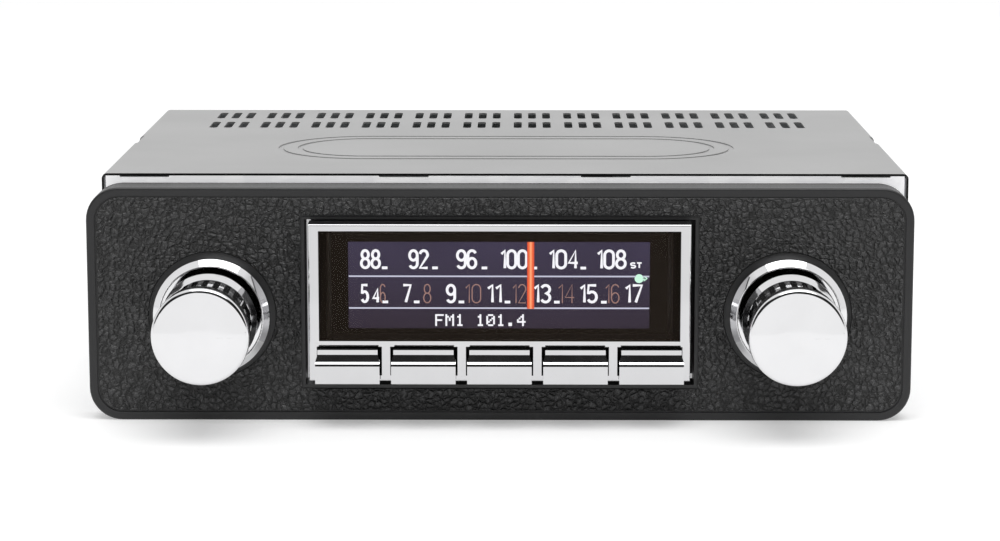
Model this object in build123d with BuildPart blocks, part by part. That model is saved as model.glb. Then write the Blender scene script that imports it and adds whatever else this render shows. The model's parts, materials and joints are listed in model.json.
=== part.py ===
from build123d import *
import os

os.makedirs("parts", exist_ok=True)

# A two-shaft car radio with a leather-grained face plate, in millimetres.
# +X is to the right, +Y to the back and +Z up, so the front looks along -Y.
# The origin is under the middle of the whole radio, level with the face plate's lower edge.

# ---- Case ----
case_width = 178.0
case_depth = 120.0
case_bottom = 3.0
case_top = 53.0
case_front = -48.0
case_x = 1.0                    # the case hangs a little to the right on its shaft slots
sheet = 1.0
cover_sheet = 0.5
cover_skirt = 12.0
wall_top = 51.9
panel_top_gap = 0.05
panel_tab_gap = 0.35
panel_tab_width = 11.0
panel_tab_places = (-79.6, -22.3, 22.3, 79.6)
panel_side_gap = 0.4
bend_radius = 1.2

case_back = case_front + case_depth
case_left = case_x - case_width / 2
case_right = case_x + case_width / 2
inner_left = case_left + cover_sheet
inner_right = case_right - cover_sheet
rear_panel_back = case_back - cover_sheet
rear_panel_front = rear_panel_back - sheet
tray_front = case_front + sheet
floor_top = case_bottom + sheet
cover_underside = case_top - cover_sheet
screw_radius = 1.4
screw_head_radius = 2.3
screw_height = 46.0
side_screw_places = (-34.0, 56.0)
rear_screw_spread = 140.0

# ---- Cover openings ----
vent_groups = 12
vent_group_pitch = 12.6
vent_slots = 3
vent_slot_pitch = 3.6
vent_slot_width = 2.0
vent_slot_length = 12.0
vent_rows = (40.3, 59.5)
bead_y = -3.0
bead_width = 1.2
bead_depth = 0.25
bead_sizes = ((107.0, 42.0), (98.0, 33.0))
notch_y = (5.0, 18.0)
notch_depth = 1.2
notch_drop = 5.0

# ---- Mounting holes in the case sides ----
mount_hole_radius = 2.5
mount_hole_y = (10.0, 50.0)
mount_hole_z = 20.0

# ---- Face plate ----
plate_width = 180.0
plate_height = 51.5
plate_depth = 8.0
plate_front = -60.0
plate_corner = 7.2
plate_edge = 0.5
plate_web = 2.5
plate_wall = 2.5
border_width = 1.8
groove_width = 0.35
groove_depth = 0.3
rib_places = (-80.0, -48.0, 48.0, 80.0)
rib_width = 1.4

plate_back = plate_front + plate_depth
plate_z = plate_height / 2

# ---- The nose: the middle block that carries the display and the preset buttons ----
opening_width = 85.0
opening_bottom = 8.0
opening_top = 44.6
opening_lip = 0.55
opening_frame = 1.8
nose_half = 40.7
nose_bottom = 10.1
nose_top = 43.85
nose_front = 4.2                # ahead of the face plate's surface, as are all nose distances
nose_wall = 1.0
nose_flange_half = 46.5
nose_flange_z = (6.0, 47.8)
nose_flange_thickness = 1.5
partition = (-6.0, -4.5)
shelf_z = (17.6, 18.6)
lens_ledge = 3.4
lens_front = 5.2
lens_half = 39.0
lens_z = (18.95, 42.85)
lens_gap = 0.1
bezel_half = 41.3
bezel_z = (10.05, 44.45)
bezel_face = (4.8, 6.0)
bezel_skirt_back = 0.3
display_half = 36.5
display_z = (20.0, 41.8)
display_depth = (0.8, 3.0)
front_board_half = 38.5
front_board_z = (11.5, 42.5)
front_board_depth = (-13.1, -11.5)
board_post_x = 35.0
board_post_z = (22.0, 39.0)
board_post_radius = 2.2
board_post_bore = 0.9
board_post_hole = 1.0
front_screw_head = (1.8, 1.2)
front_screw_radius = 0.88
front_screw_depth = 4.0
switch_half = 2.25
switch_button = (1.1, 0.4)
backlight_frame = 1.5
backlight_recess = 0.6

# ---- Preset buttons ----
preset_count = 5
preset_pitch = 16.4
preset_width = 13.0
preset_lip_width = 13.9
preset_lip = (7.5, 10.0)
preset_lip_bottom = 10.2
preset_lip_top = 14.95
preset_face_top = 13.8
preset_lip_round = 0.55
preset_z = (11.5, 17.45)
preset_body_front = 8.75
preset_step_top = 16.4
preset_back = -1.0
preset_window_z = (11.3, 17.65)
preset_window_half = 39.6
divider_width = 1.8
stem_radius = 1.5
stem_end = -9.0
stem_hole_radius = 1.58
stem_collar = (-7.0, -6.2)
stem_collar_radius = 2.1
stem_z = 14.2
preset_spring_radius = 2.5
preset_spring_wire = 0.22
switch_gap = 1.25

# ---- The two controls ----
control_spread = 125.5
control_z = 23.5
control_places = (("volume", -control_spread / 2), ("tuning", control_spread / 2))
slot_length = 16.0
slot_height = 9.8
encoder_size = 18.0
encoder_back = -33.0
encoder_cavity_radius = 6.6
encoder_cavity_front = -45.8
bushing_radius = 4.75
bushing_front = -59.2
bushing_bore = 3.05
outer_shaft_radius = 3.0
outer_shaft_bore = 2.1
outer_rotor = (-45.5, -44.3)
inner_shaft_radius = 2.0
inner_shaft_y = (-78.0, -38.0)
inner_rotor = (-44.0, -42.8)
rotor_radius = 6.0
flat_height = 1.5
flat_length = 9.0
plunger_radius = 6.5
plunger_y = (-37.95, -36.5)
spring_seat = -34.0
push_spring_radius = 4.2
push_spring_wire = 0.25
spring_slack = 0.05

ring_radius = 12.7
ring_foot_radius = 11.7
ring_inner_radius = 11.1
ring_back = 0.4
ring_floor = 1.7
ring_front = 4.0
ring_shoulder = 2.4
ring_lip_round = 0.2
ring_hub_radius = 4.6
ring_hub_front = 3.0

knob_sleeve = (4.8, 7.2)
knob_sleeve_radius = 8.0
knob_flange = (7.2, 9.2)
knob_flange_shoulder = 7.6
knob_flange_radius = 10.4
knob_flange_front_radius = 9.35
knob_body_radius = 9.3
knob_front = 22.6
knob_hollow_radius = 6.8
knob_hollow_front = 19.6
knob_hub_radius = 4.0
knob_hub_back = 5.2
knob_bore = 2.05
knob_bore_front = 19.0
flute_count = 24
flute_width = 1.3
flute_depth = 0.8
cap_radius = 10.4
cap_front = 26.0
cap_round = 0.9
cap_flat_radius = 3.0
cap_sag = 0.15
spigot_radius = 4.9
spigot_length = 1.4
clip_half_width = 1.2
clip_leaf = 0.3
clip_height = 1.1

land_radius = 13.7
land_depth = 0.3
pocket_radius = 9.5
pocket_floor = -4.0
pocket_base = 1.5
pocket_wall = 1.6
nut_flats = 14.0
nut_bore = 4.78
panel_nut_thickness = 2.2
plate_nut_thickness = 2.2
washer_radius = 7.5
washer_thickness = 0.5

# ---- Circuit board ----
board_x = (-83.0, 85.0)
board_y = (-44.0, 69.0)
board_z = (10.0, 11.6)
board_screw_spread_x = 156.0
board_screw_y = (-36.0, 60.0)
board_screw_head = (2.8, 1.8)
board_hole_radius = 1.6
standoff_radius = 3.0
amplifier_x = (-80.0, -62.0)
amplifier_front = 66.4
amplifier_z = (14.0, 34.0)
amplifier_pins = 9
amplifier_pin_pitch = 2.0
amplifier_pin_half = 0.4
amplifier_pin_y = (67.0, 67.6)
tuner_x = (44.0, 82.0)
tuner_y = (16.0, 52.0)
tuner_top = 27.0
tuner_hole_places = (52.0, 63.0, 74.0)
tuner_hole_radius = 2.0
tuner_hole_depth = 1.0
tuner_corner = 1.0
chip_height = 1.6
ribbon_half = 10.0
ribbon_thickness = 0.3
ribbon_bend_radius = 3.0
ribbon_bend_y = -40.0
ribbon_top = 30.0

# Each capacitor: x, y, radius, height
capacitor_places = (
    (-72.0, 30.0, 6.3, 25.0),
    (-56.0, 30.0, 6.3, 25.0),
    (-72.0, 10.0, 5.0, 20.0),
    (-58.0, 10.0, 5.0, 20.0),
    (14.0, 40.0, 4.0, 12.0),
)
# Each chip: x, y, width, depth
chip_places = (
    (-20.0, 0.0, 14.0, 14.0),
    (10.0, 5.0, 10.0, 10.0),
    (-24.0, 36.0, 12.0, 7.0),
    (30.0, -14.0, 9.0, 6.0),
)

# ---- Back of the case ----
heat_sink_x = (-84.0, -58.0)
heat_sink_z = (8.0, 38.0)
heat_sink_base = 3.0
heat_sink_fins = 7
heat_sink_fin = 1.4
heat_sink_back = 83.4
harness_x = (-52.0, -12.0)
harness_y = (66.0, 82.0)
harness_z = (board_z[1], 34.6)
harness_wall = 1.4
harness_floor = 68.5
harness_pin_end = 76.0
harness_pin_rows = (18.5, 27.7)
harness_pins_per_row = 8
harness_pin_pitch = 4.4
harness_pin_half = (0.8, 0.4)
fuse_bay_right = -3.0
fuse_bay_back = 76.0
fuse_bay_floor = 70.0
fuse_bay_wall = 1.7
fuse_side_gap = 0.4
fuse_blade_inset = 1.5
fuse_head_inset = 0.5
fuse_head_height = 6.5
rca_places_x = (7.0, 21.0)
rca_places_z = (18.0, 32.0)
rca_radius = 4.15
rca_end = 81.0
rca_collar = (5.4, 0.8)
rca_core_radius = 3.3
rca_core_recess = 1.5
rca_pin_radius = 1.6
rca_pin_depth = 10.0
rca_block_x = (0.0, 28.0)
rca_block_front = 60.0
rca_block_top = 39.0
antenna_x = 68.0
antenna_z = 32.0
antenna_radius = 6.3
antenna_bore = 4.75
antenna_y = (60.0, 84.0)
antenna_collar = (8.0, 1.6)
antenna_bore_depth = 14.0
antenna_core_radius = 1.8
antenna_core_wall = 2.0
stud_x = 44.0
stud_z = 28.0
stud_radius = 2.5
stud_y = (66.0, 86.0)
stud_nut_half = 4.0
stud_nut_thickness = 3.0
panel_clearance = 0.15


# ---- Helpers ----

def ahead(distance):
    """The y of a point that stands this far in front of the face plate's surface."""
    return plate_front - distance


def ahead_pair(distances):
    """The front and back y of a piece between two distances ahead of the face plate."""
    low, high = distances
    return (ahead(high), ahead(low))


def facing(y):
    """A plane at this y that looks to the front, with X and Z as its own axes."""
    return Plane.XZ.offset(-y)


def radial_plane(x, z):
    """Half-section of a control: its x is the radius, its y the distance ahead of the plate."""
    return Plane(origin=(x, plate_front, z), x_dir=(1, 0, 0), z_dir=(0, 0, -1))


def block(x, y, z, mode=Mode.ADD):
    """A box between the given pairs of x, y and z."""
    ends = (x, y, z)
    middle = tuple((low + high) / 2 for low, high in ends)
    with Locations(middle):
        Box(*(high - low for low, high in ends), mode=mode)


def rod(x, z, radius, y, mode=Mode.ADD):
    """A cylinder along Y between the given pair of y."""
    front, back = y
    with Locations(Location((x, (front + back) / 2, z), (90, 0, 0))):
        Cylinder(radius, back - front, mode=mode)


def post(x, y, radius, z, mode=Mode.ADD):
    """An upright cylinder between the given pair of z."""
    bottom, top = z
    with Locations((x, y, (bottom + top) / 2)):
        Cylinder(radius, top - bottom, mode=mode)


def save(piece, name):
    """Label a finished piece and write it to its own file."""
    piece.part.label = name
    export_step(piece.part, f"parts/{name}.step")


def coil_spring(x, z, y, radius, wire, turns):
    """A compression spring along Y, its wire inside the given pair of y."""
    front, back = y
    rise = back - front - 2 * wire
    with BuildPart() as spring:
        with BuildLine() as path:
            Helix(rise / turns, rise, radius, center=(x, front + wire, z), direction=(0, 1, 0))
        with BuildSketch(Plane(origin=path.line @ 0, z_dir=path.line % 0)):
            Circle(wire)
        sweep(path=path.line, is_frenet=True)
    return spring


def hex_nut(x, y, thickness):
    """Adds a control's hexagon nut, from y towards the back."""
    with BuildSketch(facing(y + thickness)) as outline:
        with Locations((x, control_z)):
            RegularPolygon(nut_flats / 2, 6, major_radius=False)
            Circle(nut_bore, mode=Mode.SUBTRACT)
    extrude(outline.sketch, amount=thickness)


def countersunk_places():
    """Where the cover's screws sit: the middle of each head, and the way the screw goes in."""
    places = []
    for y in side_screw_places:
        places.append(Location((case_left, y, screw_height), (0, 90, 0)))
        places.append(Location((case_right, y, screw_height), (0, -90, 0)))
    for offset in (-rear_screw_spread / 2, rear_screw_spread / 2):
        places.append(Location((case_x + offset, case_back, screw_height), (90, 0, 0)))
    return places


def countersink(clearance, mode=Mode.ADD):
    """The conical head of a cover screw, flush with the sheet."""
    Cone(
        screw_head_radius + clearance,
        screw_radius + clearance,
        cover_sheet,
        align=(Align.CENTER, Align.CENTER, Align.MIN),
        mode=mode,
    )


# ---- Case: tray, cover, front panel, rear panel and their screws ----

with BuildPart() as chassis_tray:
    with BuildSketch(facing(rear_panel_front)):
        with Locations((case_x, (case_bottom + wall_top) / 2)):
            Rectangle(inner_right - inner_left, wall_top - case_bottom)
        with Locations((case_x, (floor_top + wall_top) / 2)):
            Rectangle(inner_right - inner_left - 2 * sheet, wall_top - floor_top, mode=Mode.SUBTRACT)
    extrude(amount=rear_panel_front - tray_front)
    fillet(chassis_tray.edges().filter_by(Axis.Y).group_by(Axis.Z)[0], bend_radius)
    for x in (case_x - board_screw_spread_x / 2, case_x + board_screw_spread_x / 2):
        for y in board_screw_y:
            post(x, y, standoff_radius, (floor_top, board_z[0]))
            post(x, y, screw_radius, (floor_top, board_z[0]), mode=Mode.SUBTRACT)
    for y in mount_hole_y:
        with Locations(Location((case_x, y, mount_hole_z), (0, 90, 0))):
            Cylinder(mount_hole_radius, case_width, mode=Mode.SUBTRACT)
    for y in side_screw_places:
        with Locations(Location((case_x, y, screw_height), (0, 90, 0))):
            Cylinder(screw_radius, case_width, mode=Mode.SUBTRACT)
save(chassis_tray, "chassis_tray")

with BuildPart() as top_cover:
    skirt_bottom = case_top - cover_skirt
    block((case_left, case_right), (case_front, case_back), (skirt_bottom, case_top))
    fillet(top_cover.edges().filter_by(Axis.Y).group_by(Axis.Z)[-1], bend_radius)
    block(
        (inner_left, inner_right),
        (case_front, rear_panel_back),
        (skirt_bottom, cover_underside),
        mode=Mode.SUBTRACT,
    )
    vent_middle = sum(vent_rows) / 2
    with BuildSketch(Plane.XY.offset(case_top)):
        with Locations((case_x, vent_middle)):
            with GridLocations(vent_group_pitch, vent_rows[1] - vent_rows[0], vent_groups, 2):
                with GridLocations(vent_slot_pitch, 1, vent_slots, 1):
                    SlotOverall(vent_slot_length, vent_slot_width, rotation=90)
    extrude(amount=-cover_sheet, mode=Mode.SUBTRACT)
    with BuildSketch(Plane.XY.offset(case_top)):
        for length, height in bead_sizes:
            with Locations((case_x, bead_y)):
                SlotOverall(length, height)
                SlotOverall(length - 2 * bead_width, height - 2 * bead_width, mode=Mode.SUBTRACT)
    extrude(amount=-bead_depth, mode=Mode.SUBTRACT)
    for edge, inwards in ((case_left, notch_depth), (case_right, -notch_depth)):
        block(sorted((edge, edge + inwards)), notch_y, (case_top - notch_drop, case_top),
              mode=Mode.SUBTRACT)
    with Locations(*countersunk_places()):
        countersink(clearance=0.05, mode=Mode.SUBTRACT)
save(top_cover, "top_cover")

with BuildPart() as cover_screws:
    with Locations(*countersunk_places()):
        countersink(clearance=0)
        Cylinder(screw_radius, 4.0, align=(Align.CENTER, Align.CENTER, Align.MIN))
save(cover_screws, "cover_screws")

with BuildPart() as front_panel:
    panel_top = cover_underside - panel_top_gap
    panel_left = inner_left + panel_side_gap
    panel_right = inner_right - panel_side_gap
    with BuildSketch(facing(tray_front)):
        with Locations((case_x, (case_bottom + panel_top) / 2)):
            Rectangle(panel_right - panel_left, panel_top - case_bottom)
        with Locations((case_x, (nose_flange_z[0] + nose_flange_z[1]) / 2)):
            Rectangle(2 * nose_half + 4.6, 38.0, mode=Mode.SUBTRACT)
        with Locations((case_x, control_z)):
            with GridLocations(control_spread, 1, 2, 1):
                SlotOverall(slot_length, slot_height, mode=Mode.SUBTRACT)
        for offset in panel_tab_places:
            with Locations((case_x + offset, panel_top)):
                Rectangle(panel_tab_width, 2 * panel_tab_gap, mode=Mode.SUBTRACT)
    extrude(amount=sheet)
    for x in ((inner_left + sheet, inner_left + 2 * sheet), (inner_right - 2 * sheet, inner_right - sheet)):
        block(x, (tray_front, tray_front + 8.0), (8.0, 46.0))
save(front_panel, "front_panel")

with BuildPart() as rear_panel:
    block((inner_left, inner_right), (rear_panel_front, rear_panel_back), (case_bottom, wall_top))
    sheet_y = (rear_panel_front, rear_panel_back)
    block(
        (harness_x[0] - panel_clearance, fuse_bay_right + panel_clearance),
        sheet_y,
        (harness_z[0] - panel_clearance, harness_z[1] + panel_clearance),
        mode=Mode.SUBTRACT,
    )
    for x in rca_places_x:
        for z in rca_places_z:
            rod(x, z, rca_radius + panel_clearance, sheet_y, mode=Mode.SUBTRACT)
    rod(antenna_x, antenna_z, antenna_radius + panel_clearance, sheet_y, mode=Mode.SUBTRACT)
    rod(stud_x, stud_z, stud_radius + panel_clearance, sheet_y, mode=Mode.SUBTRACT)
    for offset in (-rear_screw_spread / 2, rear_screw_spread / 2):
        rod(case_x + offset, screw_height, screw_radius, sheet_y, mode=Mode.SUBTRACT)
save(rear_panel, "rear_panel")


# ---- Face plate ----

with BuildPart() as face_plate:
    with BuildSketch(facing(plate_back)):
        with Locations((0, plate_z)):
            RectangleRounded(plate_width, plate_height, plate_corner)
    extrude(amount=plate_depth)
    fillet(face_plate.faces().sort_by(Axis.Y)[0].edges(), plate_edge)
    with BuildSketch(facing(plate_back)):
        with Locations((0, plate_z)):
            RectangleRounded(
                plate_width - 2 * plate_wall,
                plate_height - 2 * plate_wall,
                plate_corner - plate_wall,
            )
    extrude(amount=plate_depth - plate_web, mode=Mode.SUBTRACT)
    # Ribs stop a little short of the rim, so that only the rim rests on the dashboard
    web_back = plate_front + plate_web
    for x in rib_places:
        block((x - rib_width / 2, x + rib_width / 2), (web_back, plate_back - 1.0),
              (plate_wall, plate_height - plate_wall))
    # The frame behind the nose opening, and a cup behind each control
    opening_z = (opening_bottom + opening_top) / 2
    opening_height = opening_top - opening_bottom
    with BuildSketch(facing(plate_back - 0.5)):
        with Locations((0, opening_z)):
            Rectangle(opening_width + 2 * opening_frame, opening_height + 2 * opening_frame)
    extrude(amount=plate_depth - plate_web)
    cup_back = ahead(pocket_floor) + pocket_base
    for name, x in control_places:
        rod(x, control_z, pocket_radius + pocket_wall, (web_back, cup_back))
    # Openings, from the front
    with BuildSketch(facing(plate_back)):
        with Locations((0, opening_z)):
            Rectangle(opening_width, opening_height)
    extrude(amount=plate_depth, mode=Mode.SUBTRACT)
    for name, x in control_places:
        rod(x, control_z, land_radius, (plate_front, plate_front + land_depth), mode=Mode.SUBTRACT)
        rod(x, control_z, pocket_radius, (plate_front, ahead(pocket_floor)), mode=Mode.SUBTRACT)
        rod(x, control_z, bushing_radius + panel_clearance, (plate_front, cup_back), mode=Mode.SUBTRACT)
    # A fine groove between the smooth border and the leather grain, and one round the opening
    with BuildSketch(facing(plate_front)):
        with Locations((0, plate_z)):
            inset = border_width
            RectangleRounded(plate_width - 2 * inset, plate_height - 2 * inset, plate_corner - inset)
            inset = border_width + groove_width
            RectangleRounded(plate_width - 2 * inset, plate_height - 2 * inset, plate_corner - inset,
                             mode=Mode.SUBTRACT)
        with Locations((0, opening_z)):
            outset = opening_lip + groove_width
            Rectangle(opening_width + 2 * outset, opening_height + 2 * outset)
            Rectangle(opening_width + 2 * opening_lip, opening_height + 2 * opening_lip,
                      mode=Mode.SUBTRACT)
    extrude(amount=-groove_depth, mode=Mode.SUBTRACT)
save(face_plate, "face_plate")


# ---- Nose: housing, bezel, lens, display and the board behind them ----

divider_places = [preset_pitch * (i - (preset_count - 2) / 2) for i in range(preset_count - 1)]
preset_places = [preset_pitch * (i - (preset_count - 1) / 2) for i in range(preset_count)]
board_post_places = [(x, z) for x in (-board_post_x, board_post_x) for z in board_post_z]

with BuildPart() as nose_housing:
    block((-nose_half, nose_half), (ahead(nose_front), tray_front), (nose_bottom, nose_top))
    flange_y = (tray_front, tray_front + nose_flange_thickness)
    block((-nose_flange_half, nose_flange_half), flange_y, nose_flange_z)
    inner_half = nose_half - nose_wall
    # Lens seat, display chamber, button chamber and the space behind the partition
    lens_seat_half = lens_half + lens_gap
    block((-lens_seat_half, lens_seat_half), (ahead(nose_front), ahead(lens_ledge)),
          (shelf_z[1], lens_z[1] + lens_gap), mode=Mode.SUBTRACT)
    block((-display_half - 1.0, display_half + 1.0), (ahead(nose_front), ahead(partition[1])),
          (shelf_z[1], display_z[1] + 0.5), mode=Mode.SUBTRACT)
    block((-inner_half, inner_half), (ahead(nose_front), ahead(partition[1])),
          (nose_bottom + nose_wall, shelf_z[0]), mode=Mode.SUBTRACT)
    block((-inner_half, inner_half), (ahead(partition[0]), flange_y[1]),
          (nose_bottom + nose_wall, nose_top - nose_wall), mode=Mode.SUBTRACT)
    for x in divider_places:
        block((x - 0.6, x + 0.6), (ahead(nose_front), ahead(partition[1])),
              (nose_bottom + nose_wall, shelf_z[0]))
    for x in preset_places:
        rod(x, stem_z, stem_hole_radius, ahead_pair(partition), mode=Mode.SUBTRACT)
    for x, z in board_post_places:
        rod(x, z, board_post_radius, (ahead(partition[0]), ahead(front_board_depth[1])))
        rod(x, z, board_post_bore, (ahead(partition[0]), ahead(front_board_depth[1])), mode=Mode.SUBTRACT)
save(nose_housing, "nose_housing")

with BuildPart() as chrome_bezel:
    block((-bezel_half, bezel_half), (ahead(bezel_face[1]), ahead(bezel_skirt_back)), bezel_z)
    fillet(chrome_bezel.faces().sort_by(Axis.Y)[0].edges(), 0.35)
    # The back is open below, so only the top and the two sides have skirts
    block((-nose_half, nose_half), (ahead(bezel_face[0]), ahead(bezel_skirt_back)),
          (bezel_z[0], nose_top), mode=Mode.SUBTRACT)
    with BuildSketch(facing(ahead(bezel_face[0]))):
        with Locations((0, (lens_z[0] + lens_z[1]) / 2)):
            Rectangle(2 * lens_seat_half, lens_z[1] - lens_z[0] + 2 * lens_gap)
        with Locations((0, sum(preset_window_z) / 2)):
            Rectangle(2 * preset_window_half, preset_window_z[1] - preset_window_z[0])
        for x in divider_places:
            with Locations((x, sum(preset_window_z) / 2)):
                Rectangle(divider_width, preset_window_z[1] - preset_window_z[0], mode=Mode.SUBTRACT)
    extrude(amount=bezel_face[1] - bezel_face[0], mode=Mode.SUBTRACT)
save(chrome_bezel, "chrome_bezel")

with BuildPart() as display_lens:
    block((-lens_half, lens_half), ahead_pair((lens_ledge, lens_front)), lens_z)
    fillet(display_lens.faces().sort_by(Axis.Y)[0].edges(), 0.2)
save(display_lens, "display_lens")

with BuildPart() as lcd_panel:
    block((-display_half, display_half), ahead_pair(display_depth), display_z)
save(lcd_panel, "lcd_panel")

with BuildPart() as backlight_unit:
    back_depth = (partition[1], display_depth[0])
    block((-display_half, display_half), ahead_pair(back_depth), display_z)
    # Light leaves through a shallow frame at the front
    recess_half = display_half - backlight_frame
    recess_y = (ahead(back_depth[1]), ahead(back_depth[1]) + backlight_recess)
    block((-recess_half, recess_half), recess_y,
          (display_z[0] + backlight_frame, display_z[1] - backlight_frame), mode=Mode.SUBTRACT)
save(backlight_unit, "backlight_unit")

with BuildPart() as front_board:
    block((-front_board_half, front_board_half), ahead_pair(front_board_depth), front_board_z)
    for x, z in board_post_places:
        rod(x, z, board_post_hole, ahead_pair(front_board_depth), mode=Mode.SUBTRACT)
save(front_board, "front_board")

with BuildPart() as front_board_screws:
    board_back = ahead(front_board_depth[0])
    for x, z in board_post_places:
        rod(x, z, front_screw_head[0], (board_back, board_back + front_screw_head[1]))
        rod(x, z, front_screw_radius, (ahead(front_board_depth[1]) - front_screw_depth, board_back))
save(front_board_screws, "front_board_screws")

with BuildPart() as tact_switches:
    board_front = ahead(front_board_depth[1])
    switch_top = ahead(stem_end) + switch_gap
    for x in preset_places:
        block((x - switch_half, x + switch_half), (switch_top + switch_button[1], board_front),
              (stem_z - switch_half, stem_z + switch_half))
        rod(x, stem_z, switch_button[0], (switch_top, board_front))
save(tact_switches, "tact_switches")


# ---- Preset buttons and their springs ----

def make_preset_button(x):
    """A push button whose top steps down and flares out to a deep front lip, on a guide stem."""
    bottom, top = preset_z
    lip_back, lip_front = preset_lip
    step_end = (ahead(lip_front - preset_lip_round), preset_lip_top)
    face_top = (ahead(lip_front), preset_face_top)
    rounding = (
        ahead(lip_front - 0.25 * preset_lip_round),
        preset_face_top + 0.6 * (preset_lip_top - preset_face_top),
    )
    with BuildPart() as button:
        with BuildSketch(Plane.YZ.offset(x)):
            with BuildLine():
                Polyline(
                    step_end,
                    (ahead(preset_body_front), preset_step_top),
                    (ahead(preset_body_front), top),
                    (ahead(preset_back), top),
                    (ahead(preset_back), bottom),
                    (ahead(lip_back), bottom),
                    (ahead(lip_back), preset_lip_bottom),
                    (ahead(lip_front), preset_lip_bottom),
                    face_top,
                )
                ThreePointArc(face_top, rounding, step_end)
            make_face()
        extrude(amount=preset_lip_width / 2, both=True)
        for side in (-1, 1):
            body_edge = x + side * preset_width / 2
            lip_edge = x + side * preset_lip_width / 2
            block(sorted((body_edge, lip_edge)), (ahead(lip_back), ahead(preset_back)), (bottom, top),
                  mode=Mode.SUBTRACT)
            with BuildSketch(facing(ahead(lip_back))):
                with BuildLine():
                    Polyline(
                        (body_edge, preset_step_top),
                        (lip_edge, preset_lip_top),
                        (lip_edge, top),
                        (body_edge, top),
                        close=True,
                    )
                make_face()
            extrude(amount=lip_front - lip_back, mode=Mode.SUBTRACT)
        rod(x, stem_z, stem_radius, (ahead(preset_back), ahead(stem_end)))
        rod(x, stem_z, stem_collar_radius, ahead_pair(stem_collar))
    return button


for number, x in enumerate(preset_places, start=1):
    save(make_preset_button(x), f"preset_button_{number}")
    spring_y = ahead_pair((partition[1] + spring_slack, preset_back - spring_slack))
    spring = coil_spring(x, stem_z, spring_y, preset_spring_radius, preset_spring_wire, turns=4)
    save(spring, f"preset_spring_{number}")


# ---- Volume and tuning controls ----

with BuildPart() as encoder_housings:
    for name, x in control_places:
        half = encoder_size / 2
        block((x - half, x + half), (tray_front, encoder_back), (control_z - half, control_z + half))
        rod(x, control_z, bushing_radius, (bushing_front, tray_front))
        rod(x, control_z, encoder_cavity_radius, (encoder_cavity_front, encoder_back), mode=Mode.SUBTRACT)
        rod(x, control_z, bushing_bore, (bushing_front, encoder_cavity_front), mode=Mode.SUBTRACT)
save(encoder_housings, "encoder_housings")

with BuildPart() as encoder_covers:
    for name, x in control_places:
        half = encoder_size / 2
        block((x - half, x + half), (encoder_back, encoder_back + 1.0), (control_z - half, control_z + half))
        rod(x, control_z, encoder_cavity_radius - 0.05, (spring_seat, encoder_back))
        for offset in (-5.0, -2.5, 0.0, 2.5, 5.0):
            block((x + offset - 0.4, x + offset + 0.4), (encoder_back + 1.0, encoder_back + 4.0),
                  (control_z - half + 1.0, control_z - half + 1.4))
save(encoder_covers, "encoder_covers")


def make_outer_shaft(x):
    """Hollow shaft of the rear ring, with its rotor disc inside the encoder."""
    with BuildPart() as shaft:
        rod(x, control_z, outer_shaft_radius, (ahead(ring_hub_front), outer_rotor[1]))
        rod(x, control_z, rotor_radius, outer_rotor)
        rod(x, control_z, outer_shaft_bore, (ahead(ring_hub_front), outer_rotor[1]), mode=Mode.SUBTRACT)
    return shaft


def make_rear_ring(x):
    """Dished ring behind the knob, with a conical lip and a hub on the hollow shaft."""
    with BuildPart() as ring:
        with BuildSketch(radial_plane(x, control_z)) as section:
            with BuildLine():
                Polyline(
                    (outer_shaft_radius, ring_back),
                    (ring_foot_radius, ring_back),
                    (ring_radius, ring_shoulder),
                    (ring_inner_radius, ring_front),
                    (ring_inner_radius, ring_floor),
                    (ring_hub_radius, ring_floor),
                    (ring_hub_radius, ring_hub_front),
                    (outer_shaft_radius, ring_hub_front),
                    close=True,
                )
            make_face()
            fillet(section.vertices().group_by(Axis.Y)[-1], ring_lip_round)
        revolve(axis=Axis((x, 0, control_z), (0, 1, 0)))
    return ring


def make_inner_shaft(x):
    """Solid shaft of the knob, with a flat at the front and a rotor disc in the encoder."""
    front, back = inner_shaft_y
    with BuildPart() as shaft:
        rod(x, control_z, inner_shaft_radius, inner_shaft_y)
        rod(x, control_z, rotor_radius, inner_rotor)
        block((x - inner_shaft_radius, x + inner_shaft_radius), (front, front + flat_length),
              (control_z + flat_height, control_z + inner_shaft_radius), mode=Mode.SUBTRACT)
    return shaft


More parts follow.
